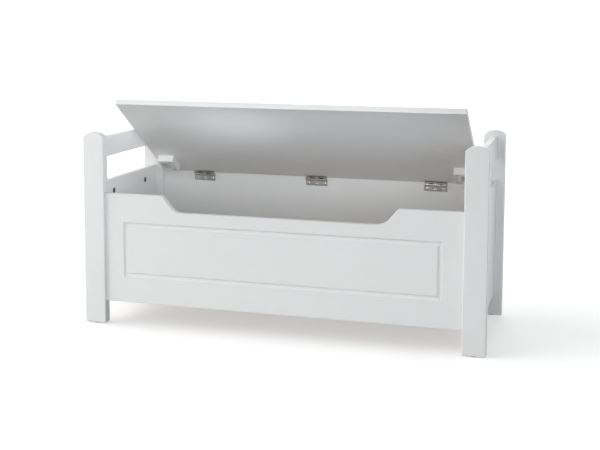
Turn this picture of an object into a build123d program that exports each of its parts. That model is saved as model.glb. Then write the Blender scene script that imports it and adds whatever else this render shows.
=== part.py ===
from build123d import *
import os
from math import asin, cos, degrees, radians, sin, tan

os.makedirs("parts", exist_ok=True)

# ---------------------------------------------------------------------------
# Storage bench, millimetres. +Z up, front towards -Y, origin on the floor in
# the middle of the four posts.
# ---------------------------------------------------------------------------

# posts
width = 1000.0  # over the outer faces of the posts
depth = 386.0  # over the front and rear faces of the posts
post_w = 55.0  # along X
post_d = 25.0  # along Y
shoulder_z = 471.0  # where the arched top of a post starts
crown_rise = 12.0
post_edge_r = 2.5

# plastic glides nailed under the posts
glide_r = 9.0
glide_h = 2.5
glide_nail_r = 1.2
glide_nail_len = 12.0

# boards
board_t = 16.0  # front panel, side panels, rails
rear_t = 12.0  # housing of the rear panel, from the posts' rear faces
rear_recess = 2.0  # the rear panel lies this deep in its housing
lid_t = 15.0
floor_t = 10.0
board_edge_r = 2.0

panel_bottom = 58.0
front_top = 330.5
rear_top = 338.5
side_top = 355.5
rail_bottom = 415.0
rail_top = 467.0
front_recess = 8.0  # front panel behind the front faces of the posts
rear_housing = 10.0  # rear panel let into each rear post

# front panel: hand cut-out and routed frame
cut_low = 290.5  # lower edge of the cut-out
cut_top_x = 293.8  # where the slope at each end would meet the upper edge
cut_slope = 49.3  # degrees
cut_convex_r = 7.0
cut_concave_r = 40.0
groove_x = 391.0  # middle of the groove
groove_z0 = 128.4
groove_z1 = 254.8
groove_r = 6.04
groove_depth = 4.2

# lid and its hinge line
open_deg = 34.1  # the lid stands this far open at rest
hinge_gap = 3.4  # from the pin's axis to the boards the leaves lie on
hinge_z = 332.9
lid_half_w = 440.0
lid_rear = 6.0  # rear edge, in front of the pin's axis
lid_depth = 373.9

# butt hinges, 60 x 34
hinge_x = (-322.0, 0.0, 322.0)
hinge_len = 60.0
leaf_w = 17.0
leaf_t = 1.2
knuckle_r = 3.0
knuckle_n = 5
knuckle_slack = 0.25
pin_r = 1.5
pin_bore_r = 1.55
leaf_clear = 3.6  # leaf plate stays this far from the axis beside the other leaf's knuckles
hinge_screw_x = (-22.0, 0.0, 22.0)
hinge_screw_s = (10.5, 13.0, 10.5)
hinge_screw_len = 10.0
hinge_head_r = 3.1  # raised countersunk heads
hinge_head_rise = 0.7

# slotted blocks under the rear corners of the lid
block_x0 = 380.0
block_x1 = 425.0
block_s0 = 43.0
block_s1 = 100.0
block_t = 18.0
block_slot_x0 = 396.0
block_slot_x1 = 419.0
block_slot_s0 = 48.0
block_slot_s1 = 87.0
block_screws = ((388.0, 54.0), (390.5, 93.5))  # x, s

# knock-down fittings
cam_r = 7.4
cam_hole_r = 7.5
cam_h = 12.0
cam_hole_depth = 12.5
cam_sink = 0.3
side_cam_y = 95.0
side_cam_z = (100.0, 323.0)
front_cam_x = 411.0
front_cam_z = (112.0, 290.0)
bolt_r = 3.0
bolt_neck_r = 2.4
bolt_hole_r = 3.05
bolt_bore_r = 3.5
bolt_in_post = 14.0

dowel_r = 4.0
dowel_hole_r = 4.05
dowel_in_post = 12.0
dowel_in_board = 16.0
rail_dowel_z = (428.0, 454.0)
side_dowel_z = 211.0
front_dowel_z = 200.0

# floor and its cleats
cleat = 18.0
cleat_z0 = 60.0
cleat_front_half = 430.0
cleat_side_half = 140.0
cleat_front_screw_x = (-380.0, -130.0, 130.0, 380.0)
cleat_side_screw_y = (-100.0, 100.0)

# ---------------------------------------------------------------------------
# derived
# ---------------------------------------------------------------------------
half_w = width / 2
half_d = depth / 2
post_in_x = half_w - post_w  # 445
post_mid_x = half_w - post_w / 2  # 472.5
post_in_y = half_d - post_d  # 168
side_in_x = post_mid_x - board_t / 2  # 464.5
side_out_x = post_mid_x + board_t / 2
front_y0 = -half_d + front_recess  # front face of the front panel
front_y1 = front_y0 + board_t
front_mid_y = (front_y0 + front_y1) / 2
rear_y0 = half_d - rear_t  # inner face of the rear panel
rear_y1 = half_d - rear_recess  # outer face of the rear panel
hinge_y = rear_y0 - hinge_gap
rear_screw_x = post_in_x + rear_housing / 2
rear_screw_z = (90.0, 195.0, 300.0)
cleat_z1 = cleat_z0 + cleat
cleat_zm = cleat_z0 + cleat / 2
knuckle_len = hinge_len / knuckle_n
# the raised part of a hinge screw's head is a cap of this ball, from this latitude down
head_ball_r = (hinge_head_r**2 + hinge_head_rise**2) / (2 * hinge_head_rise)
head_ball_lat = degrees(asin((head_ball_r - hinge_head_rise) / head_ball_r))

# the lid's own plane: origin on the pin's axis, local x along the pin, local
# y towards the lid's rear edge, local z square to the lid's upper face
a = radians(open_deg)
lid_plane = Plane(origin=(0, hinge_y, hinge_z), x_dir=(1, 0, 0), z_dir=(0, sin(a), cos(a)))
mid = (Align.CENTER, Align.CENTER, Align.CENTER)
up = (Align.CENTER, Align.CENTER, Align.MIN)


def facing(origin, z_dir, x_dir):
    """A location whose local z points along z_dir."""
    return Plane(origin=origin, x_dir=x_dir, z_dir=z_dir).location


def on_lid(x, s, u):
    """A location in the lid: s in front of the pin's axis, u above it."""
    spot = lid_plane.from_local_coords(Vector(x, -s, u))
    return Plane(origin=spot, x_dir=(1, 0, 0), z_dir=lid_plane.z_dir).location


def knuckles(first):
    """Centres and lengths, along the hinge, of every other knuckle."""
    out = []
    for k in range(first, knuckle_n, 2):
        lo = -hinge_len / 2 + k * knuckle_len + (knuckle_slack if k > 0 else 0)
        hi = -hinge_len / 2 + (k + 1) * knuckle_len - (knuckle_slack if k < knuckle_n - 1 else 0)
        out.append(((lo + hi) / 2, hi - lo))
    return out


# ---------------------------------------------------------------------------
# posts
# ---------------------------------------------------------------------------
posts = {
    "post_front_left": (-1, -1),
    "post_front_right": (1, -1),
    "post_rear_left": (-1, 1),
    "post_rear_right": (1, 1),
}
for post_name, (sx, sy) in posts.items():
    near_y = -half_d if sy < 0 else post_in_y
    xm = sx * post_mid_x
    with BuildPart() as post:
        with BuildSketch(Plane.XZ.offset(-near_y)):
            with BuildLine():
                Polyline(
                    (xm - post_w / 2, shoulder_z),
                    (xm - post_w / 2, glide_h),
                    (xm + post_w / 2, glide_h),
                    (xm + post_w / 2, shoulder_z),
                )
                ThreePointArc(
                    (xm - post_w / 2, shoulder_z),
                    (xm, shoulder_z + crown_rise),
                    (xm + post_w / 2, shoulder_z),
                )
            make_face()
        extrude(amount=-post_d)
        fillet(post.edges().filter_by(lambda e: e.center().Z > glide_h + 1), radius=post_edge_r)
        chamfer(post.edges().group_by(Axis.Z)[0], length=1.0)
        # bolts and dowels of the side panel and the rail
        with Locations(*[(xm, sy * (post_in_y + bolt_in_post / 2), z) for z in side_cam_z]):
            Cylinder(bolt_hole_r, bolt_in_post + 1, rotation=(90, 0, 0), mode=Mode.SUBTRACT)
        with Locations(
            *[(xm, sy * (post_in_y + dowel_in_post / 2), z) for z in (side_dowel_z, *rail_dowel_z)]
        ):
            Cylinder(dowel_hole_r, dowel_in_post + 1, rotation=(90, 0, 0), mode=Mode.SUBTRACT)
        if sy < 0:
            # bolts and dowel of the front panel
            with Locations(*[(sx * (post_in_x + 10), front_mid_y, z) for z in front_cam_z]):
                Cylinder(bolt_hole_r, 21, rotation=(0, 90, 0), mode=Mode.SUBTRACT)
            with Locations((sx * (post_in_x + dowel_in_post / 2), front_mid_y, front_dowel_z)):
                Cylinder(dowel_hole_r, dowel_in_post + 1, rotation=(0, 90, 0), mode=Mode.SUBTRACT)
        else:
            # stopped rebate and screw holes of the rear panel
            with Locations(
                (
                    sx * (post_in_x + rear_housing / 2 - 1.95),
                    rear_y0 + rear_t / 2 + 2,
                    (panel_bottom + rear_top) / 2,
                )
            ):
                Box(
                    rear_housing + 4.1,
                    rear_t + 4,
                    rear_top - panel_bottom + 0.2,
                    mode=Mode.SUBTRACT,
                )
            with Locations(*[(sx * rear_screw_x, rear_y0 - 5, z) for z in rear_screw_z]):
                Cylinder(1.8, 11, rotation=(90, 0, 0), mode=Mode.SUBTRACT)
        # nail of the glide
        with Locations((xm, near_y + post_d / 2, glide_h + glide_nail_len / 2)):
            Cylinder(glide_nail_r + 0.05, glide_nail_len + 1, mode=Mode.SUBTRACT)
    post.part.label = post_name
    export_step(post.part, f"parts/{post_name}.step")

with BuildPart() as foot_glides:
    for sx in (-1, 1):
        for sy in (-1, 1):
            with Locations((sx * post_mid_x, sy * (half_d - post_d / 2), 0)):
                Cylinder(glide_r, glide_h, align=up)
    chamfer(foot_glides.edges().group_by(Axis.Z)[0], length=0.8)
    for sx in (-1, 1):
        for sy in (-1, 1):
            with Locations((sx * post_mid_x, sy * (half_d - post_d / 2), glide_h - 0.5)):
                Cylinder(glide_nail_r, glide_nail_len + 0.5, align=up)
foot_glides.part.label = "foot_glides"
export_step(foot_glides.part, "parts/foot_glides.step")

# ---------------------------------------------------------------------------
# rails and side panels
# ---------------------------------------------------------------------------
for side, sx in (("left", -1), ("right", 1)):
    with BuildPart() as arm_rail:
        with BuildSketch(Plane.YZ.offset(sx * post_mid_x - board_t / 2)):
            with Locations((0, (rail_bottom + rail_top) / 2)):
                Rectangle(2 * post_in_y, rail_top - rail_bottom)
        extrude(amount=board_t)
        fillet(arm_rail.edges().filter_by(Axis.Y), radius=3.0)
        with Locations(
            *[
                (sx * post_mid_x, sy * (post_in_y - dowel_in_board / 2), z)
                for sy in (-1, 1)
                for z in rail_dowel_z
            ]
        ):
            Cylinder(dowel_hole_r, dowel_in_board + 1, rotation=(90, 0, 0), mode=Mode.SUBTRACT)
    arm_rail.part.label = f"arm_rail_{side}"
    export_step(arm_rail.part, f"parts/arm_rail_{side}.step")

    with BuildPart() as side_panel:
        with BuildSketch(Plane.YZ.offset(sx * post_mid_x - board_t / 2)):
            with Locations((0, (panel_bottom + side_top) / 2)):
                Rectangle(2 * post_in_y, side_top - panel_bottom)
        extrude(amount=board_t)
        fillet(side_panel.edges().filter_by(Axis.Y), radius=board_edge_r)
        # pockets of the cams, open towards the inside
        with Locations(
            *[
                (sx * (side_in_x + cam_hole_depth / 2 - 0.5), sy * side_cam_y, z)
                for sy in (-1, 1)
                for z in side_cam_z
            ]
        ):
            Cylinder(cam_hole_r, cam_hole_depth + 1, rotation=(0, 90, 0), mode=Mode.SUBTRACT)
        # bores for the bolts, from the ends of the board to the cams
        bore_len = post_in_y - side_cam_y
        with Locations(
            *[
                (sx * post_mid_x, sy * (side_cam_y + bore_len / 2 + 0.5), z)
                for sy in (-1, 1)
                for z in side_cam_z
            ]
        ):
            Cylinder(bolt_bore_r, bore_len + 1, rotation=(90, 0, 0), mode=Mode.SUBTRACT)
        with Locations(
            *[
                (sx * post_mid_x, sy * (post_in_y - dowel_in_board / 2), side_dowel_z)
                for sy in (-1, 1)
            ]
        ):
            Cylinder(dowel_hole_r, dowel_in_board + 1, rotation=(90, 0, 0), mode=Mode.SUBTRACT)
        # pilot holes of the cleat's screws
        with Locations(*[(sx * (side_in_x + 6), y, cleat_zm) for y in cleat_side_screw_y]):
            Cylinder(1.8, 13, rotation=(0, 90, 0), mode=Mode.SUBTRACT)
    side_panel.part.label = f"side_panel_{side}"
    export_step(side_panel.part, f"parts/side_panel_{side}.step")

# ---------------------------------------------------------------------------
# front panel with hand cut-out and routed frame
# ---------------------------------------------------------------------------
# each end of the cut-out is a slope between a small convex and a large concave arc
slope = radians(cut_slope)
cut_low_x = cut_top_x - (front_top - cut_low) / tan(slope)
low_t = cut_concave_r * tan(slope / 2)
top_t = cut_convex_r * tan(slope / 2)
low_end = (cut_low_x - low_t, cut_low)
slope_low = (cut_low_x + low_t * cos(slope), cut_low + low_t * sin(slope))
slope_top = (cut_top_x - top_t * cos(slope), front_top - top_t * sin(slope))
top_end = (cut_top_x + top_t, front_top)


def arc_mid(c, r, p, q):
    """The middle of the short arc of circle c, r between p and q."""
    mx, mz = (p[0] + q[0]) / 2 - c[0], (p[1] + q[1]) / 2 - c[1]
    k = r / (mx * mx + mz * mz) ** 0.5
    return (c[0] + mx * k, c[1] + mz * k)


convex_mid = arc_mid((top_end[0], front_top - cut_convex_r), cut_convex_r, top_end, slope_top)
concave_mid = arc_mid((low_end[0], cut_low + cut_concave_r), cut_concave_r, slope_low, low_end)


def mx(p):
    return (-p[0], p[1])


with BuildPart() as front_panel:
    with BuildSketch(Plane.XZ.offset(-front_y0)):
        with BuildLine():
            Polyline(
                mx(top_end),
                (-post_in_x, front_top),
                (-post_in_x, panel_bottom),
                (post_in_x, panel_bottom),
                (post_in_x, front_top),
                top_end,
            )
            ThreePointArc(top_end, convex_mid, slope_top)
            Line(slope_top, slope_low)
            ThreePointArc(slope_low, concave_mid, low_end)
            Line(low_end, mx(low_end))
            ThreePointArc(mx(low_end), mx(concave_mid), mx(slope_low))
            Line(mx(slope_low), mx(slope_top))
            ThreePointArc(mx(slope_top), mx(convex_mid), mx(top_end))
        make_face()
    extrude(amount=-board_t)
    fillet(
        front_panel.faces().sort_by(Axis.Y)[0].edges().filter_by(
            lambda e: abs(e.center().X) < post_in_x - 1
        ),
        radius=1.5,
    )
    fillet(
        front_panel.faces().sort_by(Axis.Y)[-1].edges().filter_by(
            lambda e: abs(e.center().X) < post_in_x - 1
        ),
        radius=1.5,
    )
    # routed cove, mitred at the corners
    with BuildLine(Plane.XZ.offset(-(front_y0 - groove_r + groove_depth))) as cove_path:
        Polyline(
            (0, groove_z0),
            (groove_x, groove_z0),
            (groove_x, groove_z1),
            (-groove_x, groove_z1),
            (-groove_x, groove_z0),
            (0, groove_z0),
        )
    with BuildSketch(
        Plane(
            origin=(0, front_y0 - groove_r + groove_depth, groove_z0),
            x_dir=(0, 1, 0),
            z_dir=(1, 0, 0),
        )
    ):
        Circle(groove_r)
    sweep(path=cove_path.wire(), transition=Transition.RIGHT, mode=Mode.SUBTRACT)
    # pockets of the cams, open towards the inside
    with Locations(
        *[
            (sx * front_cam_x, front_y1 - cam_hole_depth / 2 + 0.5, z)
            for sx in (-1, 1)
            for z in front_cam_z
        ]
    ):
        Cylinder(cam_hole_r, cam_hole_depth + 1, rotation=(90, 0, 0), mode=Mode.SUBTRACT)
    front_bore = post_in_x - front_cam_x
    with Locations(
        *[
            (sx * (front_cam_x + front_bore / 2 + 0.5), front_mid_y, z)
            for sx in (-1, 1)
            for z in front_cam_z
        ]
    ):
        Cylinder(bolt_bore_r, front_bore + 1, rotation=(0, 90, 0), mode=Mode.SUBTRACT)
    with Locations(
        *[(sx * (post_in_x - dowel_in_board / 2), front_mid_y, front_dowel_z) for sx in (-1, 1)]
    ):
        Cylinder(dowel_hole_r, dowel_in_board + 1, rotation=(0, 90, 0), mode=Mode.SUBTRACT)
    with Locations(*[(x, front_y1 - 6, cleat_zm) for x in cleat_front_screw_x]):
        Cylinder(1.8, 13, rotation=(90, 0, 0), mode=Mode.SUBTRACT)
front_panel.part.label = "front_panel"
export_step(front_panel.part, "parts/front_panel.step")

# ---------------------------------------------------------------------------
# rear panel, let into the rear posts and screwed from behind
# ---------------------------------------------------------------------------
with BuildPart() as rear_panel:
    with BuildSketch(Plane.XZ.offset(-rear_y0)):
        with Locations((0, (panel_bottom + rear_top) / 2)):
            Rectangle(2 * (post_in_x + rear_housing), rear_top - panel_bottom)
    extrude(amount=-(rear_y1 - rear_y0))
    fillet(rear_panel.edges().filter_by(Axis.X), radius=0.8)
    with Locations(
        *[
            facing((sx * rear_screw_x, rear_y1, z), (0, -1, 0), (1, 0, 0))
            for sx in (-1, 1)
            for z in rear_screw_z
        ]
    ):
        Cone(3.8, 1.8, 2.0, align=up, mode=Mode.SUBTRACT)
        Cylinder(1.8, rear_t + 1, align=up, mode=Mode.SUBTRACT)
    # pilot holes of the hinge screws and the cleat's screws
    with Locations(
        *[
            (x + dx, rear_y0 + 4.5, hinge_z - s)
            for x in hinge_x
            for dx, s in zip(hinge_screw_x, hinge_screw_s)
        ]
    ):
        Cylinder(1.45, 10, rotation=(90, 0, 0), mode=Mode.SUBTRACT)
    with Locations(*[(x, rear_y0 + 4, cleat_zm) for x in cleat_front_screw_x]):
        Cylinder(1.8, 9, rotation=(90, 0, 0), mode=Mode.SUBTRACT)
rear_panel.part.label = "rear_panel"
export_step(rear_panel.part, "parts/rear_panel.step")

with BuildPart() as rear_panel_screws:
    with Locations(
        *[
            facing((sx * rear_screw_x, rear_y1, z), (0, -1, 0), (1, 0, 0))
            for sx in (-1, 1)
            for z in rear_screw_z
        ]
    ):
        Cone(3.6, 1.7, 1.9, align=up)
        Cylinder(1.7, 18, align=up)
        Box(3.6, 0.8, 1.6, mode=Mode.SUBTRACT)
        Box(0.8, 3.6, 1.6, mode=Mode.SUBTRACT)
rear_panel_screws.part.label = "rear_panel_screws"
export_step(rear_panel_screws.part, "parts/rear_panel_screws.step")

# ---------------------------------------------------------------------------
# floor and the cleats it lies on
# ---------------------------------------------------------------------------
with BuildPart() as floor_panel:
    nx, ny = post_in_x - 0.5, post_in_y - 0.5
    with BuildSketch(Plane.XY.offset(cleat_z1)):
        with BuildLine():
            Polyline(
                (-nx, front_y1 + 0.5),
                (nx, front_y1 + 0.5),
                (nx, -ny),
                (side_in_x - 0.5, -ny),
                (side_in_x - 0.5, ny),
                (nx, ny),
                (nx, rear_y0 - 0.5),
                (-nx, rear_y0 - 0.5),
                (-nx, ny),
                (-side_in_x + 0.5, ny),
                (-side_in_x + 0.5, -ny),
                (-nx, -ny),
                close=True,
            )
        make_face()
    extrude(amount=floor_t)
floor_panel.part.label = "floor_panel"
export_step(floor_panel.part, "parts/floor_panel.step")

with BuildPart() as floor_cleat_front:
    with Locations((0, front_y1 + cleat / 2, cleat_zm)):
        Box(2 * cleat_front_half, cleat, cleat)
    chamfer(floor_cleat_front.edges().filter_by(Axis.X), length=1.0)
    with Locations(
        *[
            facing((x, front_y1 + cleat, cleat_zm), (0, -1, 0), (1, 0, 0))
            for x in cleat_front_screw_x
        ]
    ):
        Cone(3.8, 1.8, 2.0, align=up, mode=Mode.SUBTRACT)
        Cylinder(1.8, cleat + 1, align=up, mode=Mode.SUBTRACT)
floor_cleat_front.part.label = "floor_cleat_front"
export_step(floor_cleat_front.part, "parts/floor_cleat_front.step")

with BuildPart() as floor_cleat_rear:
    with Locations((0, rear_y0 - cleat / 2, cleat_zm)):
        Box(2 * cleat_front_half, cleat, cleat)
    chamfer(floor_cleat_rear.edges().filter_by(Axis.X), length=1.0)
    with Locations(
        *[
            facing((x, rear_y0 - cleat, cleat_zm), (0, 1, 0), (1, 0, 0))
            for x in cleat_front_screw_x
        ]
    ):
        Cone(3.8, 1.8, 2.0, align=up, mode=Mode.SUBTRACT)
        Cylinder(1.8, cleat + 1, align=up, mode=Mode.SUBTRACT)
floor_cleat_rear.part.label = "floor_cleat_rear"
export_step(floor_cleat_rear.part, "parts/floor_cleat_rear.step")

for side, sx in (("left", -1), ("right", 1)):
    with BuildPart() as floor_cleat_side:
        with Locations((sx * (side_in_x - cleat / 2), 0, cleat_zm)):
            Box(cleat, 2 * cleat_side_half, cleat)
        chamfer(floor_cleat_side.edges().filter_by(Axis.Y), length=1.0)
        with Locations(
            *[
                facing((sx * (side_in_x - cleat), y, cleat_zm), (sx, 0, 0), (0, 1, 0))
                for y in cleat_side_screw_y
            ]
        ):
            Cone(3.8, 1.8, 2.0, align=up, mode=Mode.SUBTRACT)
            Cylinder(1.8, cleat + 1, align=up, mode=Mode.SUBTRACT)
    floor_cleat_side.part.label = f"floor_cleat_{side}"
    export_step(floor_cleat_side.part, f"parts/floor_cleat_{side}.step")

with BuildPart() as cleat_screws:
    spots = [
        facing((x, front_y1 + cleat, cleat_zm), (0, -1, 0), (1, 0, 0)) for x in cleat_front_screw_x
    ]
    spots += [
        facing((x, rear_y0 - cleat, cleat_zm), (0, 1, 0), (1, 0, 0)) for x in cleat_front_screw_x
    ]
    spots += [
        facing((sx * (side_in_x - cleat), y, cleat_zm), (sx, 0, 0), (0, 1, 0))
        for sx in (-1, 1)
        for y in cleat_side_screw_y
    ]
    with Locations(*spots):
        Cone(3.6, 1.7, 1.9, align=up)
        Cylinder(1.7, 25, align=up)
        Box(3.6, 0.8, 1.6, mode=Mode.SUBTRACT)
        Box(0.8, 3.6, 1.6, mode=Mode.SUBTRACT)
cleat_screws.part.label = "cleat_screws"
export_step(cleat_screws.part, "parts/cleat_screws.step")

# ---------------------------------------------------------------------------
# cams, bolts and dowels
# ---------------------------------------------------------------------------
with BuildPart() as side_cam_locks:
    for sx in (-1, 1):
        spots = [
            facing((sx * (side_in_x + cam_sink), sy * side_cam_y, z), (sx, 0, 0), (0, 0, 1))
            for sy in (-1, 1)
            for z in side_cam_z
        ]
        with Locations(*spots):
            Cylinder(cam_r, cam_h, align=up)
            Box(9.0, 1.8, 5.0, mode=Mode.SUBTRACT)
            Box(1.8, 9.0, 5.0, mode=Mode.SUBTRACT)
        with Locations(
            *[
                (sx * post_mid_x, sy * (side_cam_y + 4.0), z)
                for sy in (-1, 1)
                for z in side_cam_z
            ]
        ):
            Cylinder(bolt_bore_r, 9.0, rotation=(90, 0, 0), mode=Mode.SUBTRACT)
side_cam_locks.part.label = "side_cam_locks"
export_step(side_cam_locks.part, "parts/side_cam_locks.step")

with BuildPart() as side_cam_bolts:
    y0, y1, y2 = side_cam_y + 1.0, post_in_y, post_in_y + bolt_in_post
    for sx in (-1, 1):
        for sy in (-1, 1):
            with Locations(*[(sx * post_mid_x, sy * (y0 + 2.0), z) for z in side_cam_z]):
                Cylinder(bolt_r, 4.0, rotation=(90, 0, 0))
            with Locations(*[(sx * post_mid_x, sy * (y0 + y1) / 2, z) for z in side_cam_z]):
                Cylinder(bolt_neck_r, y1 - y0, rotation=(90, 0, 0))
            with Locations(*[(sx * post_mid_x, sy * (y1 + y2) / 2, z) for z in side_cam_z]):
                Cylinder(bolt_r, y2 - y1, rotation=(90, 0, 0))
side_cam_bolts.part.label = "side_cam_bolts"
export_step(side_cam_bolts.part, "parts/side_cam_bolts.step")

with BuildPart() as front_cam_locks:
    spots = [
        facing((sx * front_cam_x, front_y1 - cam_sink, z), (0, -1, 0), (0, 0, 1))
        for sx in (-1, 1)
        for z in front_cam_z
    ]
    with Locations(*spots):
        Cylinder(cam_r, cam_h, align=up)
        Box(9.0, 1.8, 5.0, mode=Mode.SUBTRACT)
        Box(1.8, 9.0, 5.0, mode=Mode.SUBTRACT)
    with Locations(
        *[(sx * (front_cam_x + 4.0), front_mid_y, z) for sx in (-1, 1) for z in front_cam_z]
    ):
        Cylinder(bolt_bore_r, 9.0, rotation=(0, 90, 0), mode=Mode.SUBTRACT)
front_cam_locks.part.label = "front_cam_locks"
export_step(front_cam_locks.part, "parts/front_cam_locks.step")

with BuildPart() as front_cam_bolts:
    x0, x1, x2 = front_cam_x + 1.0, post_in_x, post_in_x + 20.0
    for sx in (-1, 1):
        with Locations(*[(sx * (x0 + 2.0), front_mid_y, z) for z in front_cam_z]):
            Cylinder(bolt_r, 4.0, rotation=(0, 90, 0))
        with Locations(*[(sx * (x0 + x1) / 2, front_mid_y, z) for z in front_cam_z]):
            Cylinder(bolt_neck_r, x1 - x0, rotation=(0, 90, 0))
        with Locations(*[(sx * (x1 + x2) / 2, front_mid_y, z) for z in front_cam_z]):
            Cylinder(bolt_r, x2 - x1, rotation=(0, 90, 0))
front_cam_bolts.part.label = "front_cam_bolts"
export_step(front_cam_bolts.part, "parts/front_cam_bolts.step")

dowel_len = dowel_in_post + dowel_in_board - 0.4
dowel_off = (dowel_in_post - dowel_in_board) / 2
with BuildPart() as rail_dowels:
    with Locations(
        *[
            (sx * post_mid_x, sy * (post_in_y + dowel_off), z)
            for sx in (-1, 1)
            for sy in (-1, 1)
            for z in rail_dowel_z
        ]
    ):
        Cylinder(dowel_r, dowel_len, rotation=(90, 0, 0))
    chamfer(rail_dowels.edges().filter_by(GeomType.CIRCLE), length=0.8)
rail_dowels.part.label = "rail_dowels"
export_step(rail_dowels.part, "parts/rail_dowels.step")

with BuildPart() as panel_dowels:
    with Locations(
        *[
            (sx * post_mid_x, sy * (post_in_y + dowel_off), side_dowel_z)
            for sx in (-1, 1)
            for sy in (-1, 1)
        ]
    ):
        Cylinder(dowel_r, dowel_len, rotation=(90, 0, 0))
    with Locations(
        *[(sx * (post_in_x + dowel_off), front_mid_y, front_dowel_z) for sx in (-1, 1)]
    ):
        Cylinder(dowel_r, dowel_len, rotation=(0, 90, 0))
    chamfer(panel_dowels.edges().filter_by(GeomType.CIRCLE), length=0.8)
panel_dowels.part.label = "panel_dowels"
export_step(panel_dowels.part, "parts/panel_dowels.step")

# ---------------------------------------------------------------------------
# lid, standing open about the hinge pins
# ---------------------------------------------------------------------------
with BuildPart() as lid:
    with BuildSketch(lid_plane.offset(hinge_gap)):
        with Locations((0, -lid_rear - lid_depth / 2)):
            Rectangle(2 * lid_half_w, lid_depth)
    extrude(amount=lid_t)
    fillet(lid.edges(), radius=board_edge_r)
    # pilot holes of the hinge screws and the blocks' screws
    with Locations(
        *[
            on_lid(x + dx, s, hinge_gap - 0.5)
            for x in hinge_x
            for dx, s in zip(hinge_screw_x, hinge_screw_s)
        ]
    ):
        Cylinder(1.45, hinge_screw_len, align=up, mode=Mode.SUBTRACT)
    with Locations(
        *[
            on_lid(sx * x, s, hinge_gap - 0.5)
            for sx in (-1, 1)
            for x, s in block_screws
        ]
    ):
        Cylinder(1.8, 11, align=up, mode=Mode.SUBTRACT)
lid.part.label = "lid"
export_step(lid.part, "parts/lid.step")

for side, sx in (("left", -1), ("right", 1)):
    with BuildPart() as lid_block:
        with BuildSketch(lid_plane.offset(hinge_gap - block_t)):
            with Locations((sx * (block_x0 + block_x1) / 2, -(block_s0 + block_s1) / 2)):
                Rectangle(block_x1 - block_x0, block_s1 - block_s0)
        extrude(amount=block_t)
        fillet(
            lid_block.edges().filter_by(
                lambda e: abs((e.center() - lid_plane.origin).dot(lid_plane.z_dir) - hinge_gap) > 0.5
            ),
            radius=1.5,
        )
        with BuildSketch(lid_plane.offset(hinge_gap - block_t)):
            with Locations(
                (sx * (block_slot_x0 + block_slot_x1) / 2, -(block_slot_s0 + block_slot_s1) / 2)
            ):
                RectangleRounded(block_slot_x1 - block_slot_x0, block_slot_s1 - block_slot_s0, 3.0)
        extrude(amount=block_t, mode=Mode.SUBTRACT)
        with Locations(*[on_lid(sx * x, s, hinge_gap - block_t) for x, s in block_screws]):
            Cone(3.8, 1.8, 2.0, align=up, mode=Mode.SUBTRACT)
            Cylinder(1.8, block_t + 1, align=up, mode=Mode.SUBTRACT)
    lid_block.part.label = f"lid_block_{side}"
    export_step(lid_block.part, f"parts/lid_block_{side}.step")

with BuildPart() as lid_block_screws:
    with Locations(
        *[
            on_lid(sx * x, s, hinge_gap - block_t)
            for sx in (-1, 1)
            for x, s in block_screws
        ]
    ):
        Cone(3.6, 1.7, 1.9, align=up)
        Cylinder(1.7, 28, align=up)
        Box(3.6, 0.8, 1.6, mode=Mode.SUBTRACT)
        Box(0.8, 3.6, 1.6, mode=Mode.SUBTRACT)
lid_block_screws.part.label = "lid_block_screws"
export_step(lid_block_screws.part, "parts/lid_block_screws.step")

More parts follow.
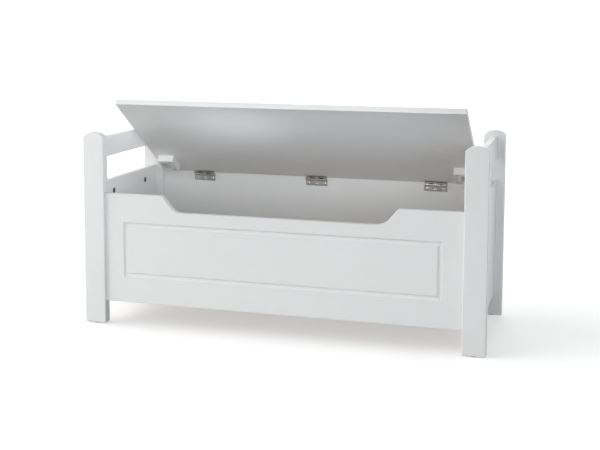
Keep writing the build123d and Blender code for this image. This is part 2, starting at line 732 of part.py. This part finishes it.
# ---------------------------------------------------------------------------
# butt hinges
# ---------------------------------------------------------------------------
for where, xc in zip(("left", "centre", "right"), hinge_x):
    with BuildPart() as hinge_leaf_frame:
        with BuildSketch(Plane.XZ.offset(-(rear_y0 - leaf_t))):
            with Locations((xc, hinge_z - (leaf_w + leaf_clear) / 2)):
                RectangleRounded(hinge_len, leaf_w - leaf_clear, 1.0)
            for kx, kl in knuckles(0):
                with Locations((xc + kx, hinge_z - (leaf_clear + 1.5) / 2)):
                    Rectangle(kl, leaf_clear + 1.5)
        extrude(amount=-leaf_t)
        for kx, kl in knuckles(0):
            with Locations((xc + kx, hinge_y, hinge_z)):
                Cylinder(knuckle_r, kl, rotation=(0, 90, 0))
        with Locations((xc, hinge_y, hinge_z)):
            Cylinder(pin_bore_r, hinge_len + 2, rotation=(0, 90, 0), mode=Mode.SUBTRACT)
        with Locations(
            *[
                facing((xc + dx, rear_y0 - leaf_t, hinge_z - s), (0, 1, 0), (1, 0, 0))
                for dx, s in zip(hinge_screw_x, hinge_screw_s)
            ]
        ):
            Cone(hinge_head_r + 0.15, 1.5, 1.1, align=up, mode=Mode.SUBTRACT)
            Cylinder(1.6, 3, align=up, mode=Mode.SUBTRACT)
    hinge_leaf_frame.part.label = f"hinge_leaf_frame_{where}"
    export_step(hinge_leaf_frame.part, f"parts/hinge_leaf_frame_{where}.step")

    with BuildPart() as hinge_leaf_lid:
        with BuildSketch(lid_plane.offset(hinge_gap - leaf_t)):
            with Locations((xc, -(leaf_w + leaf_clear) / 2)):
                RectangleRounded(hinge_len, leaf_w - leaf_clear, 1.0)
            for kx, kl in knuckles(1):
                with Locations((xc + kx, -(leaf_clear + 1.5) / 2)):
                    Rectangle(kl, leaf_clear + 1.5)
        extrude(amount=leaf_t)
        for kx, kl in knuckles(1):
            with Locations((xc + kx, hinge_y, hinge_z)):
                Cylinder(knuckle_r, kl, rotation=(0, 90, 0))
        with Locations((xc, hinge_y, hinge_z)):
            Cylinder(pin_bore_r, hinge_len + 2, rotation=(0, 90, 0), mode=Mode.SUBTRACT)
        with Locations(
            *[
                on_lid(xc + dx, s, hinge_gap - leaf_t)
                for dx, s in zip(hinge_screw_x, hinge_screw_s)
            ]
        ):
            Cone(hinge_head_r + 0.15, 1.5, 1.1, align=up, mode=Mode.SUBTRACT)
            Cylinder(1.6, 3, align=up, mode=Mode.SUBTRACT)
    hinge_leaf_lid.part.label = f"hinge_leaf_lid_{where}"
    export_step(hinge_leaf_lid.part, f"parts/hinge_leaf_lid_{where}.step")

    with BuildPart() as hinge_pin:
        with Locations((xc, hinge_y, hinge_z)):
            Cylinder(pin_r, hinge_len + 0.4, rotation=(0, 90, 0))
        with Locations(*[(xc + k * (hinge_len / 2 + 0.6), hinge_y, hinge_z) for k in (-1, 1)]):
            Cylinder(2.3, 1.0, rotation=(0, 90, 0))
        fillet(
            hinge_pin.edges().filter_by(
                lambda e: e.geom_type == GeomType.CIRCLE
                and abs(e.center().X - xc) > hinge_len / 2 + 1.0
            ),
            radius=0.7,
        )
    hinge_pin.part.label = f"hinge_pin_{where}"
    export_step(hinge_pin.part, f"parts/hinge_pin_{where}.step")

with BuildPart() as hinge_screws_frame:
    with Locations(
        *[
            facing((x + dx, rear_y0 - leaf_t, hinge_z - s), (0, 1, 0), (1, 0, 0))
            for x in hinge_x
            for dx, s in zip(hinge_screw_x, hinge_screw_s)
        ]
    ):
        Cone(hinge_head_r, 1.35, 1.1, align=up)
        Cylinder(1.35, hinge_screw_len, align=up)
        with Locations((0, 0, -hinge_head_rise)):
            Sphere(head_ball_r, arc_size1=-90, arc_size2=-head_ball_lat, align=up)
        Box(3.2, 0.7, 2.2, mode=Mode.SUBTRACT)
        Box(0.7, 3.2, 2.2, mode=Mode.SUBTRACT)
hinge_screws_frame.part.label = "hinge_screws_frame"
export_step(hinge_screws_frame.part, "parts/hinge_screws_frame.step")

with BuildPart() as hinge_screws_lid:
    with Locations(
        *[
            on_lid(x + dx, s, hinge_gap - leaf_t)
            for x in hinge_x
            for dx, s in zip(hinge_screw_x, hinge_screw_s)
        ]
    ):
        Cone(hinge_head_r, 1.35, 1.1, align=up)
        Cylinder(1.35, hinge_screw_len, align=up)
        with Locations((0, 0, -hinge_head_rise)):
            Sphere(head_ball_r, arc_size1=-90, arc_size2=-head_ball_lat, align=up)
        Box(3.2, 0.7, 2.2, mode=Mode.SUBTRACT)
        Box(0.7, 3.2, 2.2, mode=Mode.SUBTRACT)
hinge_screws_lid.part.label = "hinge_screws_lid"
export_step(hinge_screws_lid.part, "parts/hinge_screws_lid.step")
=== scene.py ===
import math

import bpy
from mathutils import Matrix, Vector

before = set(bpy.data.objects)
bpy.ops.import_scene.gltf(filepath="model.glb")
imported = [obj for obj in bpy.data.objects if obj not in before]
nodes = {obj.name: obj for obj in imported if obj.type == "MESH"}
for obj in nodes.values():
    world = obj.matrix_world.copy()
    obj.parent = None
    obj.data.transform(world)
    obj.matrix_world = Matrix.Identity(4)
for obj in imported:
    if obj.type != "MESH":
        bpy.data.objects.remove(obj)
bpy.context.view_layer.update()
scene = bpy.context.scene

# ---------------------------------------------------------------------------
# camera: to the right of the bench, a little above it, with a small downward
# shift of the frame
# ---------------------------------------------------------------------------
FOCAL_PX = 1055.0
YAW, PITCH, ROLL = math.radians(16.28), math.radians(6.29), math.radians(0.20)
CAM_AT = Vector((0.745, -2.534, 0.763))
SHIFT_Y = -0.15

cam_data = bpy.data.cameras.new("camera")
cam_data.sensor_fit = "HORIZONTAL"
cam_data.sensor_width = 36.0
cam_data.lens = FOCAL_PX / 600.0 * 36.0
cam_data.shift_y = SHIFT_Y
cam_data.dof.use_dof = False
cam_data.clip_start, cam_data.clip_end = 0.01, 200.0
cam = bpy.data.objects.new("camera", cam_data)
scene.collection.objects.link(cam)
fwd = Vector((-math.sin(YAW) * math.cos(PITCH), math.cos(YAW) * math.cos(PITCH), -math.sin(PITCH)))
right = Vector((math.cos(YAW), math.sin(YAW), 0.0))
up = right.cross(fwd)
right2 = right * math.cos(ROLL) + up * math.sin(ROLL)
up2 = up * math.cos(ROLL) - right * math.sin(ROLL)
rot = Matrix((right2, up2, -fwd)).transposed().to_4x4()
cam.matrix_world = Matrix.Translation(CAM_AT) @ rot
scene.camera = cam

# ---------------------------------------------------------------------------
# node helpers
# ---------------------------------------------------------------------------


class Tree:
    """A short way to write a material's nodes."""

    def __init__(self, name):
        self.mat = bpy.data.materials.new(name)
        self.mat.use_nodes = True
        self.nt = self.mat.node_tree
        self.bsdf = self.nt.nodes["Principled BSDF"]
        self.coord = self.add("ShaderNodeTexCoord").outputs["Object"]

    def add(self, kind, **props):
        n = self.nt.nodes.new(kind)
        for k, v in props.items():
            setattr(n, k, v)
        return n

    def link(self, a, b):
        self.nt.links.new(a, b)

    def set(self, **values):
        for k, v in values.items():
            self.bsdf.inputs[k.replace("_", " ")].default_value = v

    def mapping(self, scale=(1, 1, 1), rot=(0, 0, 0), loc=(0, 0, 0), vec=None):
        m = self.add("ShaderNodeMapping")
        m.inputs["Scale"].default_value = scale
        m.inputs["Rotation"].default_value = rot
        m.inputs["Location"].default_value = loc
        self.link(vec or self.coord, m.inputs["Vector"])
        return m.outputs["Vector"]

    def noise(self, scale, detail=2.0, rough=0.5, distort=0.0, vec=None):
        n = self.add("ShaderNodeTexNoise")
        n.inputs["Scale"].default_value = scale
        n.inputs["Detail"].default_value = detail
        n.inputs["Roughness"].default_value = rough
        n.inputs["Distortion"].default_value = distort
        self.link(vec or self.coord, n.inputs["Vector"])
        return n.outputs["Fac"]

    def voronoi(self, scale, vec=None, feature="F1", rand=1.0):
        n = self.add("ShaderNodeTexVoronoi", feature=feature)
        n.inputs["Scale"].default_value = scale
        n.inputs["Randomness"].default_value = rand
        self.link(vec or self.coord, n.inputs["Vector"])
        return n.outputs["Distance"]

    def ramp(self, fac, *stops):
        r = self.add("ShaderNodeValToRGB")
        els = r.color_ramp.elements
        while len(els) < len(stops):
            els.new(0.5)
        for e, (p, c) in zip(els, stops):
            e.position = p
            e.color = (*c, 1.0) if len(c) == 3 else c
        self.link(fac, r.inputs["Fac"])
        return r.outputs["Color"]

    def span(self, fac, lo, hi, a=0.0, b=1.0):
        """fac from a..b mapped to lo..hi"""
        m = self.add("ShaderNodeMapRange")
        for k, v in zip(("From Min", "From Max", "To Min", "To Max"), (a, b, lo, hi)):
            m.inputs[k].default_value = v
        self.link(fac, m.inputs["Value"])
        return m.outputs["Result"]

    def math(self, op, a, b=None, clamp=False):
        m = self.add("ShaderNodeMath", operation=op, use_clamp=clamp)
        for i, v in enumerate((a, b)):
            if v is None:
                continue
            if isinstance(v, (int, float)):
                m.inputs[i].default_value = v
            else:
                self.link(v, m.inputs[i])
        return m.outputs["Value"]

    def mix(self, fac, a, b):
        m = self.add("ShaderNodeMix", data_type="RGBA")
        if isinstance(fac, (int, float)):
            m.inputs["Factor"].default_value = fac
        else:
            self.link(fac, m.inputs["Factor"])
        for k, v in ((6, a), (7, b)):
            if isinstance(v, tuple):
                m.inputs[k].default_value = (*v, 1.0)
            else:
                self.link(v, m.inputs[k])
        return m.outputs[2]

    def bump(self, height, distance=1.0, strength=1.0, normal=None):
        b = self.add("ShaderNodeBump")
        b.inputs["Distance"].default_value = distance
        b.inputs["Strength"].default_value = strength
        self.link(height, b.inputs["Height"])
        if normal is not None:
            self.link(normal, b.inputs["Normal"])
        return b.outputs["Normal"]

    def out(self, socket, name):
        self.link(socket, self.bsdf.inputs[name])


# ---------------------------------------------------------------------------
# materials
# ---------------------------------------------------------------------------


def lacquer(name, grain=None, faces=None, seed=0.0):
    """Satin white lacquer. grain: the axis along which solid wood shows
    through the paint; faces: the axis a board's two sprayed faces look along,
    its edges being a little rougher, as fibreboard edges are."""
    t = Tree(name)
    at = t.mapping(loc=(seed, seed * 0.7, -seed))
    cloud = t.noise(2.6, 3.0, 0.55, vec=at)
    fine = t.noise(34.0, 3.0, 0.6, vec=at)
    tone = t.math("ADD", t.math("MULTIPLY", cloud, 0.72), t.math("MULTIPLY", fine, 0.28))
    t.out(
        t.ramp(tone, (0.30, (0.802, 0.802, 0.803)), (0.70, (0.842, 0.842, 0.841))), "Base Color"
    )
    peel = t.noise(640.0, 2.0, 0.5, vec=at)
    roll = t.noise(48.0, 2.0, 0.45, vec=at)
    height = t.math("ADD", t.math("MULTIPLY", peel, 0.000016), t.math("MULTIPLY", roll, 0.00006))
    rough = t.span(t.noise(90.0, 3.0, 0.6, vec=at), 0.34, 0.46, 0.3, 0.7)
    if grain:
        thin, long = 210.0, 5.0
        sc = tuple(long if a == grain else thin for a in "XYZ")
        fibre = t.noise(1.0, 4.0, 0.62, 0.4, vec=t.mapping(sc, loc=(seed, seed, 0)))
        wide = t.noise(
            1.0, 2.0, 0.5, 1.2, vec=t.mapping(tuple(1.6 if a == grain else 42.0 for a in "XYZ"))
        )
        height = t.math("ADD", height, t.math("MULTIPLY", fibre, 0.000045))
        height = t.math("ADD", height, t.math("MULTIPLY", wide, 0.00009))
        rough = t.math("ADD", rough, t.math("MULTIPLY", t.math("SUBTRACT", fibre, 0.5), 0.10))
    if faces:
        n = t.add("ShaderNodeSeparateXYZ")
        t.link(t.add("ShaderNodeTexCoord").outputs["Normal"], n.inputs["Vector"])
        flat = t.math("ABSOLUTE", n.outputs[faces])
        edge = t.span(flat, 1.0, 0.0, 0.55, 0.9)
        nap = t.noise(420.0, 4.0, 0.7, vec=at)
        height = t.math("ADD", height, t.math("MULTIPLY", t.math("MULTIPLY", nap, edge), 0.00005))
        rough = t.math("ADD", rough, t.math("MULTIPLY", edge, 0.07))
    t.out(rough, "Roughness")
    t.out(t.bump(height), "Normal")
    t.set(IOR=1.48, Coat_Weight=0.12, Coat_Roughness=0.22)
    return t.mat


def metal(name, lo, hi, rough, brush=None, spangle=0.0, pit=0.0, nook_shade=0.0):
    t = Tree(name)
    vec = t.mapping(brush) if brush else t.coord
    line = t.noise(1.0 if brush else 260.0, 4.0, 0.65, vec=vec)
    cloud = t.noise(55.0, 3.0, 0.6)
    tone = t.math("ADD", t.math("MULTIPLY", line, 0.45), t.math("MULTIPLY", cloud, 0.55))
    if spangle:
        flake = t.voronoi(420.0)
        tone = t.math(
            "ADD", t.math("MULTIPLY", tone, 1.0 - spangle), t.math("MULTIPLY", flake, spangle)
        )
    col = t.ramp(tone, (0.32, lo), (0.68, hi))
    if nook_shade:
        # painted shade: ambient occlusion darkens the base colour towards near-black in the nooks, round heads and
        # between knuckles
        nook = t.add("ShaderNodeAmbientOcclusion")
        nook.samples = 8
        nook.inputs["Distance"].default_value = nook_shade
        col = t.mix(t.span(nook.outputs["AO"], 0.0, 1.0, 0.30, 0.80), (0.07, 0.068, 0.065), col)
    t.out(col, "Base Color")
    t.out(t.span(tone, rough[1], rough[0], 0.3, 0.7), "Roughness")
    height = t.math("MULTIPLY", line, 0.000006)
    if pit:
        height = t.math("ADD", height, t.math("MULTIPLY", t.noise(900.0, 3.0, 0.6), pit))
    t.out(t.bump(height), "Normal")
    t.set(Metallic=1.0)
    return t.mat


def timber(name, pale, dark, axis, ring=95.0, seed=0.0, flecks=False):
    """Bare wood with its growth rings running along one axis."""
    t = Tree(name)
    sc = tuple(0.10 if a == axis else 1.0 for a in "XYZ")
    at = t.mapping(sc, loc=(seed, seed * 1.3, seed * 0.4))
    warp = t.noise(11.0, 3.0, 0.5, vec=at)
    w = t.add("ShaderNodeTexWave", wave_type="RINGS", rings_direction=axis, wave_profile="SAW")
    w.inputs["Scale"].default_value = ring
    w.inputs["Distortion"].default_value = 5.5
    w.inputs["Detail"].default_value = 3.0
    w.inputs["Detail Scale"].default_value = 0.6
    t.link(at, w.inputs["Vector"])
    fibre = t.noise(1.0, 4.0, 0.7, vec=t.mapping(tuple(9.0 if a == axis else 900.0 for a in "XYZ")))
    tone = t.math("ADD", t.math("MULTIPLY", w.outputs["Fac"], 0.55), t.math("MULTIPLY", warp, 0.30))
    tone = t.math("ADD", tone, t.math("MULTIPLY", fibre, 0.22))
    col = t.ramp(tone, (0.15, pale), (0.55, tuple((p + d) / 2 for p, d in zip(pale, dark))), (0.95, dark))
    if flecks:
        spot = t.voronoi(1.0, vec=t.mapping(tuple(160.0 if a == axis else 900.0 for a in "XYZ")))
        mask = t.span(spot, 1.0, 0.0, 0.10, 0.26)
        col = t.mix(mask, col, tuple(0.72 * d for d in dark))
    t.out(col, "Base Color")
    t.out(t.span(fibre, 0.52, 0.70, 0.3, 0.7), "Roughness")
    t.out(t.bump(t.math("ADD", t.math("MULTIPLY", fibre, 0.00006), t.math("MULTIPLY", w.outputs["Fac"], 0.00005))), "Normal")
    return t.mat


def floor_board(name):
    """Bare fibreboard: pressed smooth on its faces, with loose fibres showing,
    darker and fluffy on the sawn edges."""
    t = Tree(name)
    n = t.add("ShaderNodeSeparateXYZ")
    t.link(t.add("ShaderNodeTexCoord").outputs["Normal"], n.inputs["Vector"])
    top = t.span(t.math("ABSOLUTE", n.outputs["Z"]), 0.0, 1.0, 0.4, 0.6)
    cloud = t.noise(4.0, 4.0, 0.6)
    fluff = t.noise(620.0, 5.0, 0.75)
    strand = t.noise(1.0, 3.0, 0.6, 2.2, vec=t.mapping((160.0, 420.0, 160.0), rot=(0, 0, 0.5)))
    cross = t.noise(1.0, 3.0, 0.6, 2.2, vec=t.mapping((420.0, 150.0, 160.0), rot=(0, 0, -0.3), loc=(3.0, 1.0, 0.0)))
    tone = t.math("ADD", t.math("MULTIPLY", cloud, 0.40), t.math("MULTIPLY", strand, 0.30))
    tone = t.math("ADD", tone, t.math("MULTIPLY", cross, 0.30))
    face = t.ramp(
        tone,
        (0.34, (0.225, 0.150, 0.090)),
        (0.50, (0.300, 0.208, 0.130)),
        (0.66, (0.385, 0.280, 0.182)),
    )
    chip = t.noise(70.0, 4.0, 0.6)
    brown = t.ramp(
        t.math("ADD", t.math("MULTIPLY", fluff, 0.6), t.math("MULTIPLY", chip, 0.4)),
        (0.34, (0.165, 0.100, 0.055)),
        (0.66, (0.315, 0.205, 0.120)),
    )
    t.out(t.mix(top, brown, face), "Base Color")
    t.out(t.span(t.math("ADD", t.math("MULTIPLY", top, -0.5), t.math("MULTIPLY", tone, 0.5)), 0.50, 0.82, -0.4, 0.4), "Roughness")
    grit = t.math("MULTIPLY", t.math("MULTIPLY", fluff, t.math("SUBTRACT", 1.0, top)), 0.0001)
    t.out(t.bump(t.math("ADD", grit, t.math("MULTIPLY", tone, 0.00004))), "Normal")
    return t.mat


def moulded(name, lo, hi):
    t = Tree(name)
    t.out(t.ramp(t.noise(60.0, 3.0), (0.3, lo), (0.7, hi)), "Base Color")
    t.out(t.span(t.noise(800.0, 3.0), 0.42, 0.60, 0.3, 0.7), "Roughness")
    t.out(t.bump(t.math("MULTIPLY", t.noise(1500.0, 3.0, 0.6), 0.00003)), "Normal")
    return t.mat


post_paint = lacquer("lacquer_post", grain="Z", seed=1.7)
rail_paint = lacquer("lacquer_rail", grain="Y", faces="X", seed=4.1)
side_paint = lacquer("lacquer_side", faces="X", seed=7.3)
front_paint = lacquer("lacquer_front", faces="Y", seed=2.9)
rear_paint = lacquer("lacquer_rear", faces="Y", seed=9.4)
lid_paint = lacquer("lacquer_lid", seed=5.6)
block_paint = lacquer("lacquer_block", grain="X", seed=3.3)
# nickel and nickel_screw get painted shade in their nooks from ambient occlusion; the last number is how far it
# looks, in metres
nickel = metal("nickel", (0.66, 0.66, 0.65), (0.86, 0.86, 0.845), (0.07, 0.20), brush=(40.0, 1100.0, 1100.0), nook_shade=0.006)
nickel_screw = metal("nickel_screw", (0.76, 0.76, 0.75), (0.90, 0.90, 0.89), (0.06, 0.14), nook_shade=0.003)
zinc = metal("zinc", (0.50, 0.51, 0.53), (0.70, 0.71, 0.73), (0.26, 0.46), spangle=0.4)
cam_cast = metal("cam_cast", (0.085, 0.085, 0.088), (0.15, 0.15, 0.153), (0.42, 0.60), pit=0.00003)
pine_x = timber("pine_x", (0.62, 0.43, 0.24), (0.42, 0.24, 0.105), "X", seed=0.31)
pine_y = timber("pine_y", (0.62, 0.43, 0.24), (0.42, 0.24, 0.105), "Y", seed=0.77)
beech_y = timber("beech_y", (0.56, 0.38, 0.22), (0.45, 0.28, 0.15), "Y", ring=130.0, seed=0.12, flecks=True)
board = floor_board("floor_board")
grey_plastic = moulded("glide_plastic", (0.22, 0.22, 0.215), (0.28, 0.28, 0.275))


def paint(mat, *names):
    for n in names:
        ob = nodes[n]
        if not ob.material_slots:
            ob.data.materials.append(mat)
        for s in ob.material_slots:
            s.material = mat


paint(post_paint, "post_front_left", "post_front_right", "post_rear_left", "post_rear_right")
paint(rail_paint, "arm_rail_left", "arm_rail_right")
paint(side_paint, "side_panel_left", "side_panel_right")
paint(front_paint, "front_panel")
paint(rear_paint, "rear_panel")
paint(lid_paint, "lid")
paint(block_paint, "lid_block_left", "lid_block_right")
for where in ("left", "centre", "right"):
    paint(nickel, f"hinge_leaf_frame_{where}", f"hinge_leaf_lid_{where}", f"hinge_pin_{where}")
paint(nickel_screw, "hinge_screws_frame", "hinge_screws_lid")
paint(zinc, "rear_panel_screws", "cleat_screws", "lid_block_screws", "side_cam_bolts", "front_cam_bolts")
paint(cam_cast, "side_cam_locks", "front_cam_locks")
paint(pine_x, "floor_cleat_front", "floor_cleat_rear")
paint(pine_y, "floor_cleat_left", "floor_cleat_right")
paint(beech_y, "rail_dowels", "panel_dowels")
paint(board, "floor_panel")
paint(grey_plastic, "foot_glides")

# ---------------------------------------------------------------------------
# pale floor, soft studio light
# ---------------------------------------------------------------------------
FLOOR_LO, FLOOR_HI = 0.80, 0.83
FLOOR_GLOW = (0.43, 0.80)  # near the bench, and from a few metres off
UNDER = 0.25
# the studio's dome: an even base plus broad lobes, as (strength, azimuth from
# the front towards the right, elevation, sharpness, colour), and what comes
# back from below
DOME_BASE = (0.0, 0.0, 0.0)
GROUND = (0.25, 0.25, 0.25)
DOME = {
    "left": (3.42, -80.0, 15.0, 6.0, (1.0, 0.995, 1.0)),
    "left_top": (1.46, -62.0, 32.0, 10.0, (1.0, 0.995, 0.985)),
    "right_front": (3.75, 30.0, 3.0, 12.0, (0.935, 0.985, 1.01)),
    "right": (0.60, 85.0, 30.0, 8.0, (0.95, 0.985, 1.0)),
    "right_back": (0.91, 125.0, 20.0, 8.0, (0.95, 0.985, 1.0)),
    "back": (2.45, -164.0, 7.0, 6.0, (1.0, 1.0, 1.0)),
}
LIGHTS = {
    # name: (watts, place, looks at, size x, size y, spread in degrees, colour)
    "near_left": (4.95, (-1.50, -1.45, 0.25), (0.0, -0.15, 0.28), 1.0, 0.4, 180.0, (1.0, 0.985, 0.955)),
    "soft": (0.65, (0.25, -1.55, 0.50), (-0.25, 0.0, 0.35), 0.9, 0.6, 180.0, (1.0, 1.0, 1.0)),
    "kick": (0.44, (-0.15, -0.78, 0.04), (-0.15, -0.19, 0.10), 1.3, 0.06, 180.0, (1.0, 0.99, 0.98)),
    "fill_rail": (0.11, (0.14, -0.16, 0.40), (-0.47, -0.09, 0.445), 0.12, 0.10, 58.0, (0.96, 0.99, 1.03)),
    "card": (0.072, (0.03, -0.28, 0.375), (0.06, -0.02, 0.525), 0.64, 0.12, 80.0, (0.85, 0.98, 1.15)),
    "edge": (0.06, (-0.12, -0.55, 0.80), (-0.12, -0.13, 0.55), 0.9, 0.08, 36.0, (1.0, 1.0, 1.0)),
    "back_top": (1.6, (0.42, 1.25, 1.25), (-0.10, 0.05, 0.40), 0.7, 0.6, 180.0, (1.0, 1.0, 1.0)),
}

FLOOR_R = 70.0
floor_mesh = bpy.data.meshes.new("stage_floor")
ring = [(FLOOR_R * math.cos(k * math.tau / 128), FLOOR_R * math.sin(k * math.tau / 128), 0.0) for k in range(128)]
floor_mesh.from_pydata(ring, [], [list(range(128))])
stage_floor = bpy.data.objects.new("stage_floor", floor_mesh)
scene.collection.objects.link(stage_floor)
tf = Tree("stage_floor")
tf.out(tf.ramp(tf.noise(1.4, 3.0, 0.5), (0.35, (FLOOR_LO,) * 3), (0.65, (FLOOR_HI,) * 3)), "Base Color")
far = tf.add("ShaderNodeVectorMath", operation="LENGTH")
tf.link(tf.coord, far.inputs[0])
tf.out(tf.span(far.outputs["Value"], *FLOOR_GLOW, 0.6, 3.5), "Emission Strength")
tf.set(Roughness=0.75, Emission_Color=(1.0, 1.0, 1.0, 1.0))
floor_mesh.materials.append(tf.mat)
# a darker sheet just under the white floor throws back the light from below,
# so that the bench isn't lit from under as from a light table
stage_floor.visible_diffuse = False
stage_floor.visible_shadow = False
under_mesh = bpy.data.meshes.new("stage_under")
under_mesh.from_pydata([(0.2 * x, 0.2 * y, -0.002) for x, y, z in ring], [], [list(range(128))])
stage_under = bpy.data.objects.new("stage_under", under_mesh)
scene.collection.objects.link(stage_under)
tu = Tree("stage_under")
tu.out(tu.ramp(tu.noise(1.1, 2.0, 0.5), (0.35, (UNDER - 0.01,) * 3), (0.65, (UNDER + 0.01,) * 3)), "Base Color")
tu.set(Roughness=0.9)
under_mesh.materials.append(tu.mat)
stage_under.visible_camera = False
stage_under.visible_glossy = False

# a plain white backdrop all round, at the floor's rim
wall_mesh = bpy.data.meshes.new("stage_wall")
wall_mesh.from_pydata(
    [(x, y, h) for h in (0.0, 60.0) for x, y, z in ring],
    [],
    [[k, (k + 1) % 128, 128 + (k + 1) % 128, 128 + k] for k in range(128)],
)
stage_wall = bpy.data.objects.new("stage_wall", wall_mesh)
scene.collection.objects.link(stage_wall)
tw = Tree("stage_wall")
tw.out(tw.span(tw.noise(0.05, 2.0), 1.0, 1.04), "Emission Strength")
tw.set(Base_Color=(0.8, 0.8, 0.8, 1.0), Roughness=0.9, Emission_Color=(1.0, 1.0, 1.0, 1.0))
wall_mesh.materials.append(tw.mat)
for seen_by in ("visible_diffuse", "visible_glossy", "visible_transmission", "visible_shadow"):
    setattr(stage_wall, seen_by, False)

world = bpy.data.worlds.new("studio")
world.use_nodes = True
scene.world = world
wt = world.node_tree
bg = wt.nodes["Background"]
tc = wt.nodes.new("ShaderNodeTexCoord")


def wmath(op, a, b):
    m = wt.nodes.new("ShaderNodeMath")
    m.operation = op
    for k, v in enumerate((a, b)):
        if isinstance(v, (int, float)):
            m.inputs[k].default_value = v
        else:
            wt.links.new(v, m.inputs[k])
    return m.outputs["Value"]


def wscale(colour, amount):
    m = wt.nodes.new("ShaderNodeVectorMath")
    m.operation = "SCALE"
    if isinstance(colour, tuple):
        m.inputs[0].default_value = colour
    else:
        wt.links.new(colour, m.inputs[0])
    wt.links.new(amount, m.inputs["Scale"])
    return m.outputs["Vector"]


def wadd(a, b):
    m = wt.nodes.new("ShaderNodeVectorMath")
    m.operation = "ADD"
    for k, v in enumerate((a, b)):
        if isinstance(v, tuple):
            m.inputs[k].default_value = v
        else:
            wt.links.new(v, m.inputs[k])
    return m.outputs["Vector"]


sky = None
for amount, az, el, sharp, colour in DOME.values():
    ra, re = math.radians(az), math.radians(el)
    dot = wt.nodes.new("ShaderNodeVectorMath")
    dot.operation = "DOT_PRODUCT"
    wt.links.new(tc.outputs["Generated"], dot.inputs[0])
    dot.inputs[1].default_value = (
        math.sin(ra) * math.cos(re),
        -math.cos(ra) * math.cos(re),
        math.sin(re),
    )
    lobe = wmath(
        "MULTIPLY", wmath("POWER", wmath("MAXIMUM", dot.outputs["Value"], 0.0), sharp), amount
    )
    lobe = wscale(colour, lobe)
    sky = wadd(lobe, DOME_BASE) if sky is None else wadd(sky, lobe)
if sky is None:
    sky = wadd(DOME_BASE, (0.0, 0.0, 0.0))
axes = wt.nodes.new("ShaderNodeSeparateXYZ")
wt.links.new(tc.outputs["Generated"], axes.inputs["Vector"])
above = wt.nodes.new("ShaderNodeMapRange")
for k, v in zip(("From Min", "From Max", "To Min", "To Max"), (-0.03, 0.0, 0.0, 1.0)):
    above.inputs[k].default_value = v
wt.links.new(axes.outputs["Z"], above.inputs["Value"])
below = wmath("SUBTRACT", 1.0, above.outputs["Result"])
glow = wadd(wscale(sky, above.outputs["Result"]), wscale(GROUND, below))
wt.links.new(glow, bg.inputs["Color"])
bg.inputs["Strength"].default_value = 1.0

for lname, (watts, at, to, sx, sy, spread, colour) in LIGHTS.items():
    ld = bpy.data.lights.new(lname, "AREA")
    ld.shape = "RECTANGLE"
    ld.size, ld.size_y = sx, sy
    ld.energy = watts
    ld.spread = math.radians(spread)
    ld.color = colour
    lo = bpy.data.objects.new(lname, ld)
    lo.location = at
    lo.rotation_mode = "QUATERNION"
    lo.rotation_quaternion = (Vector(to) - Vector(at)).to_track_quat("-Z", "Y")
    lo.visible_camera = False
    scene.collection.objects.link(lo)

scene.view_settings.view_transform = "Standard"
scene.view_settings.look = "None"
scene.view_settings.exposure = 0.0
scene.view_settings.gamma = 1.0
